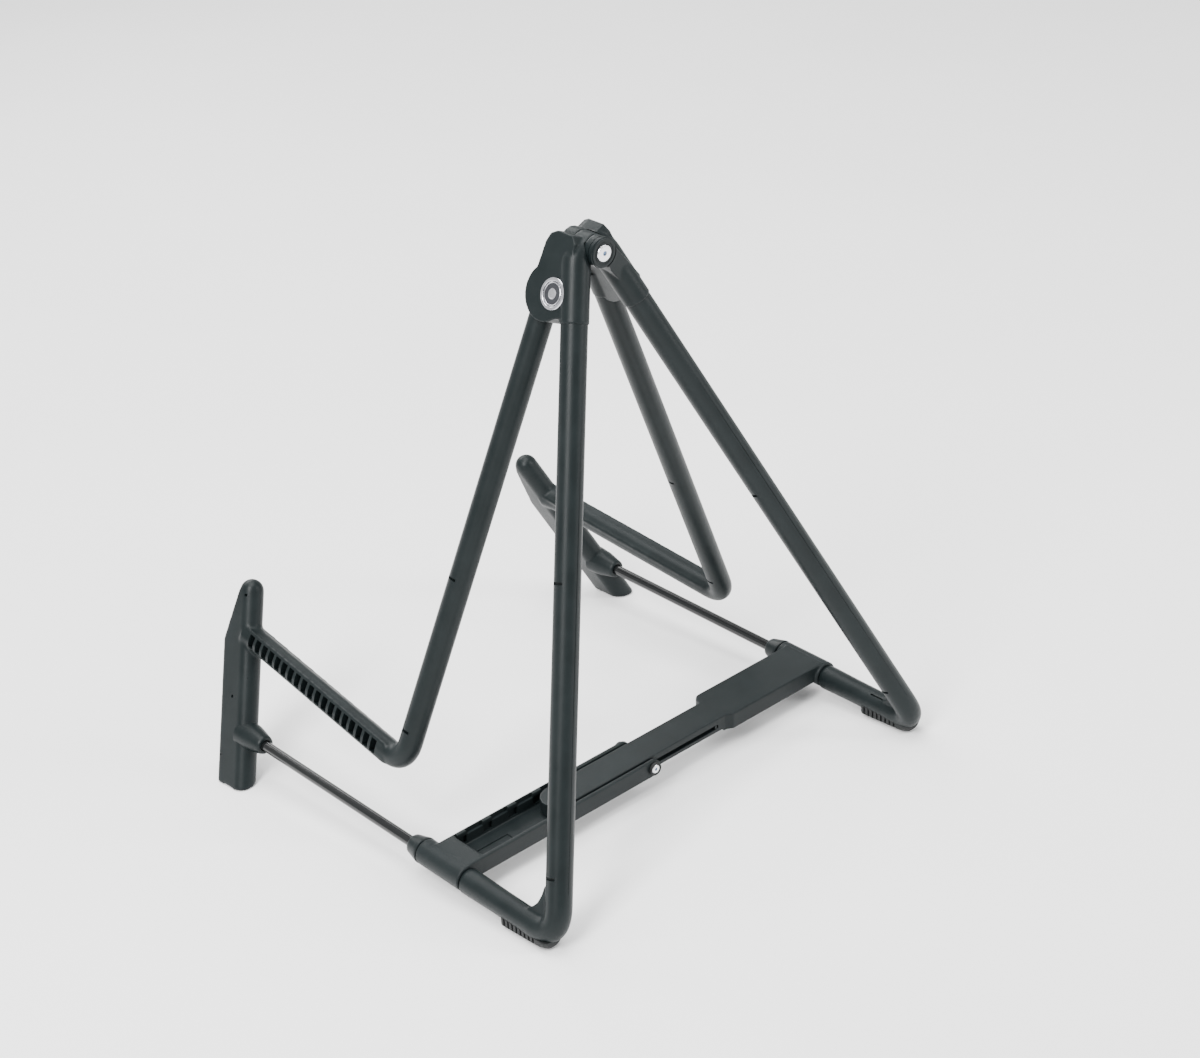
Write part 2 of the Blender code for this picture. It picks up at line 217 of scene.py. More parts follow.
def melt(name, bm, grain, passes):
    """One skin from overlapping shapes."""
    return soften(as_object(name, bm), grain, passes)


def combine(obj, bm, mode="DIFFERENCE"):
    """Cut the bmesh's shapes out of the piece, or join them to it."""
    tool = as_object("tool", bm)
    step = obj.modifiers.new("step", "BOOLEAN")
    step.operation, step.solver, step.object = mode, "MANIFOLD", tool
    settle(obj)
    bpy.data.objects.remove(tool, do_unlink=True)
    return obj


def place(obj, body, finish, nodes=(), crease=38.0):
    """Carry a piece from the bench to its place, finish it and let it ride its body."""
    obj.data.transform(BENCH)
    bm = bmesh.new()
    bm.from_mesh(obj.data)
    bmesh.ops.remove_doubles(bm, verts=bm.verts, dist=1e-7)
    bmesh.ops.dissolve_degenerate(bm, edges=bm.edges, dist=1e-7)
    bmesh.ops.recalc_face_normals(bm, faces=bm.faces)
    bm.to_mesh(obj.data)
    bm.free()
    obj.data.shade_smooth()
    obj.data.set_sharp_from_angle(angle=math.radians(crease))
    obj.data.materials.clear()
    obj.data.materials.append(finish)
    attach(obj, body)
    if nodes:
        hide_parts(*nodes)
    tris = sum(len(p.vertices) - 2 for p in obj.data.polygons)
    print(f"{obj.name}: {tris} triangles, {time.time() - started:.1f} s")
    return obj


print("steps: melt, combine, place")


# %% [markdown]
# ## Finishes
# The mouldings are glass-filled nylon: nearly black, a little green, with a fine grain that
# breaks up the highlight. The grain is noise on Object coordinates, so its size is real.

# %% Node helpers
def node(tree, kind, **values):
    made = tree.nodes.new(kind)
    for key, value in values.items():
        if key in made.inputs.keys():
            made.inputs[key].default_value = value
        else:
            setattr(made, key.lower(), value)
    return made


def grain(tree, place_from, scale, detail=4.0, rough=0.55):
    made = node(tree, "ShaderNodeTexNoise", Scale=scale, Detail=detail, Roughness=rough)
    tree.links.new(place_from, made.inputs["Vector"])
    return made.outputs["Fac"]


def ramp(tree, value, stops):
    made = tree.nodes.new("ShaderNodeValToRGB")
    points = made.color_ramp.elements
    while len(points) < len(stops):
        points.new(0.5)
    for point, (where, colour) in zip(points, stops):
        point.position = where
        point.color = (*colour, 1.0)
    tree.links.new(value, made.inputs["Fac"])
    return made.outputs["Color"]


def finish(name, dark, light, rough, spread, bump, grains, mottle=60.0, streak=None, **more):
    """A satin finish: colour and roughness vary with soft noise, grain makes the bump."""
    mat = bpy.data.materials.new(name)
    mat.use_nodes = True
    tree = mat.node_tree
    bsdf = tree.nodes["Principled BSDF"]
    for key, value in more.items():
        bsdf.inputs[key.replace("_", " ")].default_value = value
    where = tree.nodes.new("ShaderNodeTexCoord").outputs["Object"]
    if streak:
        turned = node(tree, "ShaderNodeMapping", Scale=streak)
        tree.links.new(where, turned.inputs["Vector"])
        where = turned.outputs["Vector"]
    soft = grain(tree, where, mottle, 5.0)
    fine = grain(tree, where, grains, 3.0, 0.6)
    both = node(tree, "ShaderNodeMix", data_type="FLOAT")
    both.inputs[0].default_value = 0.45
    tree.links.new(soft, both.inputs[2])
    tree.links.new(fine, both.inputs[3])
    tree.links.new(ramp(tree, both.outputs[0], [(0.32, dark), (0.7, light)]),
                   bsdf.inputs["Base Color"])
    gloss = node(tree, "ShaderNodeMapRange")
    gloss.inputs["From Min"].default_value = 0.3
    gloss.inputs["From Max"].default_value = 0.7
    gloss.inputs["To Min"].default_value = rough - spread
    gloss.inputs["To Max"].default_value = rough + spread
    tree.links.new(both.outputs[0], gloss.inputs["Value"])
    tree.links.new(gloss.outputs["Result"], bsdf.inputs["Roughness"])
    push = node(tree, "ShaderNodeBump", Strength=bump, Distance=0.0002)
    tree.links.new(fine, push.inputs["Height"])
    tree.links.new(push.outputs["Normal"], bsdf.inputs["Normal"])
    return mat


print("node helpers are ready")


# %% The finishes
NYLON = finish("grained_nylon", (0.0040, 0.0066, 0.0070), (0.0078, 0.0115, 0.0122), 0.38, 0.07,
               0.3, 2600.0, Specular_IOR_Level=0.17)
STRUT_NYLON = finish("strut_nylon", (0.0046, 0.0072, 0.0077), (0.0092, 0.0130, 0.0138), 0.44, 0.06,
                     0.4, 2200.0, Specular_IOR_Level=0.17)
ROD_BLACK = finish("glossy_black_rod", (0.004, 0.0045, 0.005), (0.008, 0.009, 0.009), 0.16,
                   0.04, 0.05, 900.0, streak=(1.0, 0.15, 1.0), Specular_IOR_Level=0.4)
RUBBER = finish("ribbed_rubber", (0.006, 0.0068, 0.007), (0.012, 0.0135, 0.014), 0.62, 0.1,
                0.5, 1800.0, Specular_IOR_Level=0.3)
ZINC = finish("bright_zinc", (0.74, 0.75, 0.78), (0.9, 0.9, 0.92), 0.24, 0.08, 0.12, 1400.0,
              Metallic=1.0)
BADGE = finish("badge_chrome", (0.55, 0.56, 0.60), (0.78, 0.78, 0.82), 0.2, 0.06, 0.08,
               1500.0, Metallic=1.0)
BADGE_DARK = finish("badge_recess", (0.008, 0.009, 0.012), (0.02, 0.022, 0.026), 0.4, 0.08,
                    0.2, 2000.0)
# darker bluish metal for the discs at the hex socket floors: painted shade inside the sockets
SOCKET_SHADE = finish("painted_socket_shade", (0.10, 0.16, 0.26), (0.2, 0.28, 0.4), 0.35, 0.08, 0.1,
                   1500.0, Metallic=1.0)
print("finishes:", len(bpy.data.materials))

# %% [markdown]
# ## Places on a side frame
# Both frames are mirror images, so every helper takes a side: -1 for left and +1 for right.
# The outward normal of the frame plane matters, because the halves of the mould part along
# that plane and every pocket opens straight outwards.

# %% Frame-plane helpers
SIDES = {-1: "left", 1: "right"}
# the leg and the ground bar; leg heights are fractions of the way from foot to hinge
LEG_TOP_Y, LEG_TOP_OUT = 113.0, 8.6
LEG_R, BAR_R, BAR_END_R = 7.5, 7.25, 7.65
FOOT_Z, BAR_END_Z = -1.4, -1.2
RAIL_TRIM = 18.0        # how far from its corner the bend starts
SEAM = 0.894            # where the leg enters the head
CORE_SLITS = (0.085, 0.515)
# the strut's barrels turn on a neck of the ground bar, and a cap closes each
BARREL_R, NECK_R, BORE_R = 8.05, 5.5, 5.56
BARREL_Y = (75.6, 112.6)
CAP_Y = (113.2, 124.0)
ROD_R, ROD_Y = 3.25, (118.0, 273.0)
# the shoe
SHOE_HALF, SHOE_DROP = 7.2, 1.6
GROOVE_FIRST, GROOVE_LAST, GROOVE_STEP = 36.9, 11, 3.45
# the arm, rest bar and upright
ARM_R = 7.1
ELBOW, ARM_TOP, ARM_TOP_OUT = (147.8, 35.6), (127.5, 283.0), 7.0
UPRIGHT_Y, UPRIGHT_SLOPE, UPRIGHT_R = 288.0, 0.35, 7.3
UPRIGHT_FOOT, UPRIGHT_TOP, REST_JOIN = -40.0, 76.0, 52.5
FIN_BACK, FIN_CORNER = 19.6, 1.8
POCKETS, POCKET_WIDE = 19, 0.68
# the head, its hinge and its badge
HEAD_IN, HEAD_THICK = 1.7, 12.9
KNUCKLE_R, KNUCKLE_AIR = 8.6, 0.4
KNUCKLES = {1: ((100.0, 108.0), (118.3, 127.0)), -1: ((108.3, 118.0),)}
RIDGE_MORE, SOCKET_MORE = 0.62, 0.5
BOSS_AT, BOSS_R, BOSS_OUT = (121.0, -29.0), 16.2, 14.6
BADGE_AT, BADGE_OUT, BADGE_SEAT_R = (115.2, -28.4), 14.0, 9.15
# the strut: where its knee screw sits, its two side walls, the tongue between them
KNEE, KNEE_BOSS_R = (-2.0, 3.1), 5.25
CHEEKS = ((75.6, 78.4), (102.2, 105.0))
TONGUE_Y = (79.6, 100.8)
TRAY_X, TRAY_TOP, TRAY_BOTTOM = -132.5, 8.3, -2.6
NOTCH_X, NOTCH_HALF = (-127.5, -108.5, -89.5, -70.5), 3.3


def on_frame(s, y, z, out=0.0):
    return Vector((s * (HALF * (1 - z / RISE) + out), y, z))


def leg_point(s, f):
    return Vector((s * (HALF + (LEG_TOP_OUT - HALF) * f), LEG_TOP_Y * f, RISE * f))


def outward(s):
    return Vector((s * math.cos(LEAN), 0, math.sin(LEAN)))


def upward(s):
    return Vector((-s * math.sin(LEAN), 0, math.cos(LEAN)))


def head_point(s, y, t, off):
    return Vector((0, y, RISE)) + upward(s) * t + outward(s) * off


def upright_point(s, z, back=0.0, out=0.0):
    return on_frame(s, UPRIGHT_Y + UPRIGHT_SLOPE * z + back, z, out)


def floor_cut(bm):
    """Everything below the floor, as a shape on the bench."""
    before = set(bm.verts)
    bmesh.ops.create_cube(bm, size=1.0, matrix=Matrix.Translation((0, 0, -0.05))
                          @ Matrix.Diagonal((1.2, 1.2, 0.1, 1.0)))
    fresh = [v for v in bm.verts if v not in before]
    bmesh.ops.transform(bm, matrix=BENCH.inverted(), verts=fresh)


print("side frame sizes are set")

# %% [markdown]
# ## The rail: leg, bend and ground bar
# One long moulding runs down the leg, round the bend and back along the floor. A web braces
# the inside of the bend, and the bar narrows to a neck that the strut's barrel turns on.
# Short slits on both sides of the leg are left by the cores of the mould.

# %% Make the rails
def rail_axis(s, top, extra=0.0):
    """Stations of the leg, the bend and the slightly slimmer ground bar."""
    foot = Vector((s * HALF, 0, FOOT_Z))
    end = Vector((s * HALF, BARREL_Y[0] - 0.35, BAR_END_Z))
    corner = bend(top, foot, end, RAIL_TRIM)
    leg = [(top, LEG_R)] + [(p, LEG_R) for p in corner]
    bar = [(corner[-1] + Vector((0, 6, 0)), BAR_R), (end - Vector((0, 26, 0)), BAR_R),
           (end, BAR_END_R)]
    return [(p, r + extra) for p, r in leg + bar]


def core_slit(bm, centre, way, face, wide=8.0, deep=3.0, tall=1.6):
    """A short slit across a tube: centre on the axis, way along it, face where it opens."""
    way = Vector(way).normalized()
    face = Vector(face).normalized()
    across = way.cross(face).normalized()
    mid = Vector(centre) + face * (LEG_R - deep)
    add_prism(bm, [mid + across * a + way * b for a, b in
                   ((-wide / 2, -tall / 2), (wide / 2, -tall / 2), (wide / 2, tall / 2),
                    (-wide / 2, tall / 2))], face * (deep + 3))


def make_rail(s):
    bm = bmesh.new()
    add_tube(bm, rail_axis(s, leg_point(s, SEAM + 0.01), 0.06))
    add_rod(bm, (s * HALF, 60, 0), (s * HALF, BARREL_Y[1] + 0.25, 0), NECK_R)
    web = [on_frame(s, y, z) for y, z in
           ((4, 1.6), (27, 1.9), (24.6, 6.4), (21.6, 8.2), (19.4, 11.2), (18.2, 15.0),
            (17.6, 20.0), (16.0, 25.5), (3.5, 9))]
    add_prism(bm, [p - outward(s) * 2.4 for p in web], outward(s) * 4.8)
    rail = melt(SIDES[s] + "_rail_moulding", bm, 0.7, 9)
    bm = bmesh.new()
    # parting line down the front of the leg, then the slits
    front = Vector((0, -1, 0)) * (LEG_R + 0.06)
    add_rod(bm, leg_point(s, 0.07) + front, leg_point(s, SEAM) + front, 0.26, sides=6)
    way = leg_point(s, 1) - leg_point(s, 0)
    for f in CORE_SLITS:
        for side in (1, -1):
            core_slit(bm, leg_point(s, f) + Vector((0, 1.5, 0)), way, outward(s) * side)
    # and one along the top of the ground bar
    core_slit(bm, (s * HALF, 30, -0.7), (0.87, 0, s * 0.5), (-s * 0.5, 0, 0.87), 10, 2.0, 1.1)
    combine(rail, bm)
    return place(rail, SIDES[s] + "_frame", NYLON, [SIDES[s] + "_rail"])


for s in SIDES:
    make_rail(s)

# %% [markdown]
# ## The shoe
# A rubber shoe grips the floor under the bend. It is a round wedge with flat sides, thickest
# at the back, and the rail is cut out of it. Grooves run up its sides and the toe is smooth.

# %% Make the shoes
def make_shoe(s):
    half, x, z = SHOE_HALF, s * HALF, FOOT_Z
    bm = bmesh.new()
    add_tube(bm, [((x, y, z), r) for y, r in
                  ((2.6, 4.0), (3.2, 6.2), (5.0, 7.7), (8.0, 8.6), (12.0, 8.95), (38.9, 10.3),
                   (39.7, 9.6))], 96)
    sole = as_object(SIDES[s] + "_rubber_shoe", bm)
    bm = bmesh.new()
    for w in (-1, 1):
        side = x + w * (half + 10)
        add_box(bm, (side - 10, -10, -30), (side + 10, 60, 20))
    combine(sole, bm)
    # the top comes off in its own step, because cutters in one step must not overlap
    bm = bmesh.new()
    add_box(bm, (x - 30, -10, z - SHOE_DROP), (x + 30, 60, 20))
    combine(sole, bm)
    soften(sole, 0.35, 4)
    bm = bmesh.new()
    add_tube(bm, rail_axis(s, leg_point(s, 0.2), 0.1))
    combine(sole, bm)
    bm = bmesh.new()
    y = GROOVE_FIRST
    while y > GROOVE_LAST:
        for side in (x - half, x + half):
            add_box(bm, (side - 1.1, y - 0.7, -20), (side + 1.1, y + 0.7, 0))
        y -= GROOVE_STEP
    floor_cut(bm)
    combine(sole, bm)
    return place(sole, SIDES[s] + "_frame", RUBBER, [SIDES[s] + "_foot_pad"], 30.0)


for s in SIDES:
    make_shoe(s)

# %% [markdown]
# ## The arm, rest bar and upright
# The second moulding of a side frame comes down from the head, turns back at the elbow and
# becomes the rest bar that the horn lies on. It ends in an upright with a flat fin. The
# pockets on the bar's outer face keep the wall thickness even, so the plastic cools evenly.

# %% Make the arms
def make_arm(s):
    top, elbow = on_frame(s, *ARM_TOP, ARM_TOP_OUT), on_frame(s, *ELBOW)
    top += (top - elbow).normalized() * 8
    end = upright_point(s, REST_JOIN)
    out, up = outward(s), upward(s)
    bm = bmesh.new()
    add_tube(bm, [(p, ARM_R + 0.05) for p in [top] + bend(top, elbow, end, 14.0)
                  + [elbow + (end - elbow) * 0.985]])
    a, b = elbow + Vector((0, 12, 1.0)), end - Vector((0, 3, 0.3))
    add_prism(bm, [a + out * i + up * j for i, j in
                   ((-6.3, -3.6), (-6.3, 6.3), (6.5, 6.3), (6.5, -4.0), (4.6, -5.9),
                    (-3.4, -5.9))], b - a)
    low, high = upright_point(s, UPRIGHT_FOOT), upright_point(s, UPRIGHT_TOP)
    add_rod(bm, low, high, UPRIGHT_R + 0.05, sides=96)
    add_ball(bm, high, UPRIGHT_R + 0.05)
    # the flat-sided back of the upright, narrower at its rear corners
    for half, back in ((UPRIGHT_R, FIN_BACK - FIN_CORNER), (UPRIGHT_R - FIN_CORNER, FIN_BACK)):
        fin = [low, upright_point(s, UPRIGHT_FOOT, back),
               upright_point(s, 45, back), upright_point(s, 75.5, back * 0.24),
               upright_point(s, 77, 0)]
        add_prism(bm, [p - out * half for p in fin], out * half * 2)
    # a flare where the rest bar runs into the upright
    add_rod(bm, b - Vector((0, 10, 1)), end, 6.4, 8.4)
    arm = melt(SIDES[s] + "_arm_moulding", bm, 0.75, 0)
    bm = bmesh.new()
    floor_cut(bm)
    combine(arm, bm)
    soften(arm, 0.72, 11)
    bm = bmesh.new()
    socket = Vector((s * HALF, UPRIGHT_Y, 0))
    add_lathe(bm, [(0, -1), (9.0, -1), (8.3, 8), (6.1, 18.6), (5.7, 19.8), (5.1, 20.4),
                   (ROD_R + 0.5, 20.4), (ROD_R + 0.35, 20.0), (ROD_R + 0.35, 12), (0, 12)],
              socket, (0, -1, 0), 72)
    combine(arm, bm, "UNION")
    bm = bmesh.new()
    pitch = (b - a) / (POCKETS + 1.5)
    for i in range(1, POCKETS + 1):
        c = a + pitch * (i + 0.1)
        add_prism(bm, [c + out * j + up * k for j, k in
                       ((2.2, -3.6), (1.2, 3.6), (9, 4.6), (9, -3.9))],
                  pitch * POCKET_WIDE)
    # core slits above the elbow, then ejector pin marks on the upright's outer side
    for k in (0.075, 0.42):
        for side in (1, -1):
            core_slit(bm, elbow.lerp(top, k) + Vector((0, 1.5, 0)), top - elbow, out * side)
    for z, back, r in ((74.3, -2.7, 0.95), (17.7, 6.2, 0.95), (31.4, -6.4, 0.8),
                       (-16.4, 15.5, 0.6)):
        c = upright_point(s, z, back)
        add_rod(bm, c + out * 4.6, c + out * 12, r, sides=16)
    combine(arm, bm)
    bm = bmesh.new()
    floor_cut(bm)
    combine(arm, bm)
    return place(arm, SIDES[s] + "_frame", NYLON, [SIDES[s] + "_arm"])


for s in SIDES:
    make_arm(s)

# %% [markdown]
# ## The tie rod and its cap
# A glossy rod ties the ground bar to the upright. It sits in a short cone at each end. The
# front cone is a separate cap that also keeps the strut's barrel on its neck.

# %% Make the rods and caps
def make_rod(s):
    bm = bmesh.new()
    long = ROD_Y[1] - ROD_Y[0]
    add_lathe(bm, [(0, 0), (ROD_R - 0.3, 0), (ROD_R, 0.3), (ROD_R, long * 0.25),
                   (ROD_R, long * 0.5), (ROD_R, long * 0.75), (ROD_R, long - 0.3),
                   (ROD_R - 0.3, long), (0, long)], (s * HALF, ROD_Y[0], 0), (0, 1, 0), 48)
    return place(as_object(SIDES[s] + "_tie_rod", bm), SIDES[s] + "_frame", ROD_BLACK,
                 [SIDES[s] + "_rod"])


def make_cap(s):
    bm = bmesh.new()
    long = CAP_Y[1] - CAP_Y[0]
    add_lathe(bm, [(0, 0), (7.7, 0), (8.15, 0.35), (8.1, 1.2), (7.6, 3.0), (6.4, long - 2.6),
                   (6.0, long - 1.0), (5.4, long - 0.2), (4.8, long), (ROD_R + 0.5, long),
                   (ROD_R + 0.35, long - 0.5), (ROD_R + 0.35, 4.2), (0, 4.2)],
              (s * HALF, CAP_Y[0], 0), (0, 1, 0), 72)
    return place(as_object(SIDES[s] + "_cone_cap", bm), SIDES[s] + "_frame", NYLON,
                 [SIDES[s] + "_bar_cap"], 30.0)


for s in SIDES:
    make_rod(s)
    make_cap(s)

# %% [markdown]
# ## The heads
# A head ties the leg and the arm together and carries the hinge knuckles. The left head has
# one knuckle in the middle, and the right head has a fork of two that hold it.

# %% Make the heads
def make_head(s):
    bm = bmesh.new()
    outline = [(101, -38), (108, -10), (109, 1), (112, 4.8), (124, 4.8), (128.8, 2.4),
               (131.2, -3), (132.0, -12), (134, -30), (124, -42.5), (112, -42)]
    add_prism(bm, [head_point(s, y, t, HEAD_IN) for y, t in outline],
              outward(s) * HEAD_THICK)
    # the leg's ridge runs the full height and rolls over into the hinge
    ridge = [leg_point(s, SEAM), leg_point(s, 0.935), leg_point(s, 0.972)]
    roll = bend(ridge[-1], leg_point(s, 1.0), Vector((0, 112.6, RISE - 0.5)), 7.5, 7)
    ridge += roll + [Vector((0, 112.6, RISE - 0.6))]
    add_tube(bm, [(p, LEG_R + RIDGE_MORE) for p in ridge])
    # the socket that the arm runs up into, and the round boss behind the badge
    arm_top, elbow = on_frame(s, *ARM_TOP, ARM_TOP_OUT), on_frame(s, *ELBOW)
    way = (arm_top - elbow).normalized()
    add_rod(bm, arm_top + way * 5.8, arm_top + way * 24, ARM_R + SOCKET_MORE)
    add_rod(bm, head_point(s, *BOSS_AT, 1.2), head_point(s, *BOSS_AT, BOSS_OUT), BOSS_R,
            sides=96)
    for lo, hi in KNUCKLES[s]:
        add_rod(bm, (0, lo, RISE), (0, hi, RISE), KNUCKLE_R, sides=96)
    if s > 0:
        # the fork's front cheek reaches over to the front knuckle
        add_prism(bm, [head_point(s, 100.2, t, off) for t, off in
                       ((-30, 15.2), (-4, 8.6), (6.5, 6), (6.5, 1), (-8, -2), (-30, 4))],
                  (0, 9, 0))
    head = melt(SIDES[s] + "_head_moulding", bm, 0.5, 8)
    # clear the other head's share of the hinge
    bm = bmesh.new()
    if s > 0:
        add_box(bm, (-60, 40, 150), (-9.4, 98, 400))
        add_box(bm, (-60, 108.0, RISE - 60), (0.3, 118.1, 400))
        add_box(bm, (-60, 127.2, 150), (0.3, 200, 400))
    else:
        add_box(bm, (-0.3, 40, 150), (60, 108.2, 400))
        add_box(bm, (-0.3, 118.1, 150), (60, 200, 400))
    combine(head, bm)
    # trim the inner side to the plane where the folded heads meet
    bm = bmesh.new()
    down = Vector((s * math.sin(FOLD / 2), 0, -math.cos(FOLD / 2)))
    start = Vector((s * 0.15, 80, RISE)) + down * (KNUCKLE_R + 1)
    add_prism(bm, [start, start + down * 60, start + down * 60 - Vector((s * 30, 0, 0)),
                   start - Vector((s * 30, 0, 0))], (0, 80, 0))
    combine(head, bm)
    # room for the other head's knuckles, open to the front and the back of the fork
    for lo, hi in KNUCKLES[-s]:
        bm = bmesh.new()
        lo = 80.0 if lo < 101 else lo
        hi = 160.0 if hi > 126 else hi
        add_rod(bm, (0, lo - 0.28, RISE), (0, hi + 0.28, RISE), KNUCKLE_R + KNUCKLE_AIR,
                sides=96)
        combine(head, bm)
    bm = bmesh.new()
    add_rod(bm, (0, 90, RISE), (0, 150, RISE), 3.06, sides=48)
    combine(head, bm)
    bm = bmesh.new()
    if s > 0:
        add_rod(bm, (0, 90, RISE), (0, 102, RISE), 5.2, sides=72)
        for ring in ([(8.15, -1), (8.15, 1.0), (8.5, 1.3), (9.0, 1.3), (9.0, -1)],
                     [(8.25, 3.4), (8.25, 3.8), (8.9, 3.8), (8.9, 3.4)],
                     [(6.0, -1), (6.0, 0.25), (6.5, 0.25), (6.5, -1)]):
            add_lathe(bm, ring, (0, KNUCKLES[1][0][0], RISE), (0, 1, 0), 96)
    add_rod(bm, head_point(s, *BADGE_AT, BADGE_OUT), head_point(s, *BADGE_AT, 22),
            BADGE_SEAT_R)
    combine(head, bm)
    return place(head, SIDES[s] + "_frame", NYLON, [SIDES[s] + "_head"])


for s in SIDES:
    make_head(s)

# %% [markdown]
# ## Badge and screws
# The badge is a plain ringed disc pressed into its seat, with dark enamel between its rings.
# The screws have a bright zinc face with a hexagonal socket; a darker bluish disc at the socket
# floor is painted shade.

# %% Make the badges
def make_badge(s):
    base = head_point(s, *BADGE_AT, BADGE_OUT + 0.1)
    bm = bmesh.new()
    add_lathe(bm, [(0, 0), (8.8, 0), (8.95, 0.3), (8.95, 1.0), (8.7, 1.35), (8.3, 1.45),
                   (7.3, 1.45), (7.1, 1.3), (7.1, 0.9), (6.6, 0.9), (6.5, 1.2), (6.3, 1.3),
                   (6.0, 1.3), (5.9, 1.2), (5.8, 0.9), (3.0, 0.9), (2.9, 1.2), (2.5, 1.35),
                   (1.3, 1.45), (0, 1.5)], base, outward(s), 96)
    place(as_object(SIDES[s] + "_badge_disc", bm), SIDES[s] + "_frame", BADGE,
          [SIDES[s] + "_badge"], 25.0)
    bm = bmesh.new()
    add_lathe(bm, [(3.1, 0.8), (7.05, 0.8), (7.05, 1.1), (6.6, 1.1), (6.55, 0.98),
                   (5.85, 0.98), (5.75, 1.1), (3.1, 1.1)], base, outward(s), 96)
    place(as_object(SIDES[s] + "_badge_enamel", bm), SIDES[s] + "_frame", BADGE_DARK,
          crease=25.0)


for s in SIDES:
    make_badge(s)


# %% Make the screws
def hexagon(bm, base, way, r, depth):
    """A hexagonal cutter for a socket of that depth, centred on the screw's face."""
    base, way = Vector(base), Vector(way).normalized()
    add_rod(bm, base - way * depth, base + way * depth, r, sides=6)


def make_apex_screw():
    bm = bmesh.new()
    add_lathe(bm, [(0, 99.5), (4.1, 99.5), (4.6, 99.7), (4.85, 100.1), (4.9, 101.6),
                   (3.0, 101.7), (3.0, 127.3), (5.2, 127.3), (5.2, 129.0), (4.8, 129.5),
                   (0, 129.5)], (0, 0, RISE), (0, 1, 0), 72)
    screw = as_object("apex_hinge_screw", bm)
    bm = bmesh.new()
    hexagon(bm, (0, 99.5, RISE), (0, 1, 0), 1.5, 1.1)
    combine(screw, bm)
    place(screw, "left_frame", ZINC, ["apex_screw"], 30.0)
    # a darker bluish disc at the socket floor: painted shade in the socket
    bm = bmesh.new()
    add_rod(bm, (0, 100.4, RISE), (0, 100.9, RISE), 1.4, sides=6)
    place(as_object("apex_socket_floor", bm), "left_frame", SOCKET_SHADE)


def make_knee_screw(front):
    lo, hi = CHEEKS[0] if front else CHEEKS[1]
    y, d = (lo, 1) if front else (hi, -1)
    bm = bmesh.new()
    add_lathe(bm, [(0, -1.7), (2.5, -1.7), (2.8, -1.45), (2.8, -0.4), (1.8, -0.35),
                   (1.8, 2.6), (0, 2.6)], (KNEE[0], y, KNEE[1]), (0, d, 0), 48)
    name = "knee_screw_front" if front else "knee_screw_rear"
    screw = as_object(name + "_bolt", bm)
    bm = bmesh.new()
    hexagon(bm, (KNEE[0], y - 1.7 * d, KNEE[1]), (0, d, 0), 1.1, 0.9)
    combine(screw, bm)
    place(screw, "strut_channel", ZINC, [name], 30.0)
    bm = bmesh.new()
    add_lathe(bm, [(2.95, -0.3), (2.95, -1.5), (3.2, -1.9), (3.7, -2.0), (4.15, -1.7),
                   (4.25, -1.2), (4.25, -0.3)], (KNEE[0], y, KNEE[1]), (0, d, 0), 64)
    place(as_object(name + "_washer", bm), "strut_channel", RUBBER, crease=30.0)
    # a darker bluish disc at the socket floor: painted shade in the socket
    bm = bmesh.new()
    add_rod(bm, (KNEE[0], y - 1.0 * d, KNEE[1]), (KNEE[0], y - 0.75 * d, KNEE[1]), 1.0, sides=6)
    place(as_object(name + "_socket_floor", bm), "strut_channel", SOCKET_SHADE)


make_apex_screw()
make_knee_screw(True)
make_knee_screw(False)

# %% [markdown]
# ## The strut
# The channel is an open tray. A ledge inside its rear wall has notches for setting the
# width, and the screw through its mouth is the knee. The slider's tongue lies in the tray
# and a wide block joins the tongue to its barrel.

# %% Make the channel
def make_channel():
    w, low, inner = -HALF, TRAY_BOTTOM, TRAY_X - 1.5
    bm = bmesh.new()
    add_rod(bm, (w, BARREL_Y[0], 0), (w, BARREL_Y[1], 0), BARREL_R, sides=96)
    add_box(bm, (w + 1, CHEEKS[0][0], low), (TRAY_X, CHEEKS[1][1], TRAY_TOP))
    add_box(bm, (inner, CHEEKS[0][0] + 1, low), (-56, CHEEKS[1][1] - 1, -0.95))
    for lo, hi in CHEEKS:
        add_box(bm, (inner, lo, low), (KNEE[0], hi, TRAY_TOP))
        add_rod(bm, (KNEE[0], lo, KNEE[1]), (KNEE[0], hi, KNEE[1]), KNEE_BOSS_R)
    channel = melt("strut_channel_moulding", bm, 0.5, 3)
    bm = bmesh.new()
    add_rod(bm, (w, 60, 0), (w, 130, 0), BORE_R, sides=96)
    combine(channel, bm)
    bm = bmesh.new()
    for x in NOTCH_X:
        add_box(bm, (x - NOTCH_HALF, 101.0, 0.6), (x + NOTCH_HALF, 103.9, 12))
    # the ledge inside the rear wall and the step in the tray's floor
    add_box(bm, (-132.2, 101.0, 5.6), (-58, 103.9, 12))
    add_box(bm, (-132.2, 80.2, -1.5), (-102, 93, 0))
    for lo, hi in CHEEKS:
        add_rod(bm, (KNEE[0], lo - 2, KNEE[1]), (KNEE[0], hi + 2, KNEE[1]), 2.1, sides=32)
    combine(channel, bm)
    return place(channel, "strut_channel", STRUT_NYLON, ["strut_channel"])


make_channel()


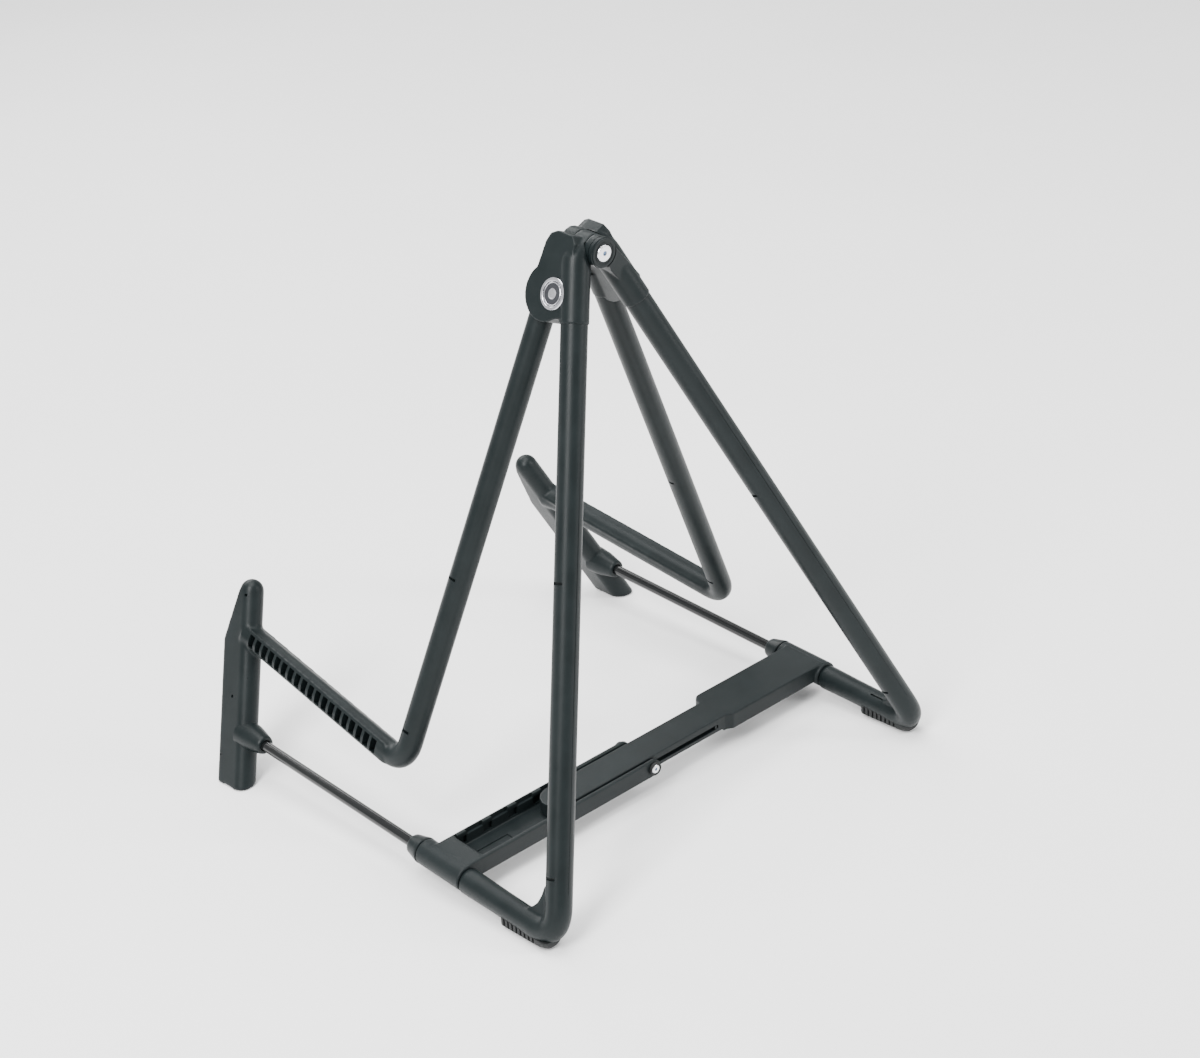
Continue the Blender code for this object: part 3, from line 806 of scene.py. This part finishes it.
# %% Make the slider
def make_slider():
    w = HALF
    y0, y1 = TONGUE_Y
    bm = bmesh.new()
    nose = [(-66, y0), (64, y0), (64, y1), (-66, y1), (-70.5, y1 - 1.4), (-74, y1 - 4.6),
            (-76, y1 - 8.6), (-76, y0 + 8.6), (-74, y0 + 4.6), (-70.5, y0 + 1.4)]
    add_prism(bm, [(x, y, -0.6) for x, y in nose], (0, 0, 9.0))
    plan = [(66, 77.2), (w - 1, 77.2), (w - 1, 108.3), (67, 108.3), (64, 107.6), (61.5, 105.4),
            (60, y1), (60, y0), (62, y0)]
    add_prism(bm, [(x, y, -2.4) for x, y in plan], (0, 0, 10.8))
    add_rod(bm, (w, BARREL_Y[0], 0), (w, BARREL_Y[1], 0), BARREL_R, sides=96)
    slider = melt("strut_slider_moulding", bm, 0.55, 3)
    bm = bmesh.new()
    add_rod(bm, (w, 60, 0), (w, 130, 0), BORE_R, sides=96)
    combine(slider, bm)
    bm = bmesh.new()
    add_box(bm, (-4.5, 70, 1.9), (54, y0 + 4.5, 4.7))
    for x in (-4.5, 54):
        add_rod(bm, (x, 70, 3.3), (x, y0 + 4.4, 3.3), 1.4, sides=24)
    combine(slider, bm)
    return place(slider, "strut_slider", STRUT_NYLON, ["strut_slider"])


make_slider()

# %% [markdown]
# ## Floor, light and camera
# A pale floor and four soft panels. The camera looks from the front left, about thirty
# degrees down, through a short telephoto lens.

# %% Floor
bm = bmesh.new()
bmesh.ops.create_grid(bm, x_segments=1, y_segments=1, size=6.0)
floor = as_object("studio_floor", bm)
floor.location.z = -0.0005
floor_mat = bpy.data.materials.new("pale_floor")
floor_mat.use_nodes = True
tree = floor_mat.node_tree
shade = tree.nodes["Principled BSDF"]
shade.inputs["Roughness"].default_value = 0.85
tone = grain(tree, tree.nodes.new("ShaderNodeTexCoord").outputs["Object"], 3.0)
pale = ramp(tree, tone, [(0.3, (0.90, 0.90, 0.90)), (0.7, (0.93, 0.93, 0.93))])
tree.links.new(pale, shade.inputs["Base Color"])
floor.data.materials.append(floor_mat)
print("floor is down")


# %% Lights
def panel(name, spot, size, watts):
    """A soft rectangular light at spot, aimed at the middle of the stand."""
    light = bpy.data.lights.new(name, "AREA")
    light.shape, light.size, light.size_y = "RECTANGLE", size[0], size[1]
    light.energy = watts
    obj = bpy.data.objects.new(name, light)
    obj.location = spot
    obj.rotation_euler = (MIDDLE - Vector(spot)).to_track_quat("-Z", "Y").to_euler()
    bpy.context.scene.collection.objects.link(obj)


MIDDLE = Vector((0.0, 0.0, 0.15))
panel("key_panel", (-1.5, -0.5, 1.7), (0.7, 1.5), 84)
panel("fill_panel", (1.2, -1.7, 1.2), (0.5, 1.5), 34)
panel("back_panel", (0.4, 1.9, 1.5), (1.8, 0.8), 36)
panel("top_panel", (0.0, 0.2, 2.2), (1.4, 1.4), 52)
world = bpy.data.worlds.new("studio")
bpy.context.scene.world = world
world.use_nodes = True
sky = world.node_tree.nodes["Background"]
sky.inputs["Color"].default_value = (1, 1, 1, 1)
sky.inputs["Strength"].default_value = 0.9
print("lights:", len(bpy.data.lights))

# %% Camera
CAMERA_AT = Vector((-846.5, -855.7, 865.5))
YAW, DIP, ROLL = math.radians(41.08), math.radians(29.08), math.radians(-3.0)
look = Vector((math.sin(YAW) * math.cos(DIP), math.cos(YAW) * math.cos(DIP), -math.sin(DIP)))
right = Vector((math.cos(YAW), -math.sin(YAW), 0))
up = right.cross(look)
right, up = (right * math.cos(ROLL) + up * math.sin(ROLL),
             up * math.cos(ROLL) - right * math.sin(ROLL))
spin = Matrix((right, up, -look)).transposed()
lens = bpy.data.cameras.new("camera")
lens.sensor_width, lens.lens = 36.0, 77.05
lens.clip_start, lens.clip_end = 0.05, 50.0
camera = bpy.data.objects.new("camera", lens)
camera.matrix_world = (Matrix.Translation(BENCH @ CAMERA_AT)
                       @ (TURN.to_3x3() @ spin).to_4x4())
bpy.context.scene.collection.objects.link(camera)
bpy.context.scene.camera = camera
print("camera lens:", lens.lens, "mm")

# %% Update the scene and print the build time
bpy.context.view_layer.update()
print("built in", round(time.time() - started, 1), "s")
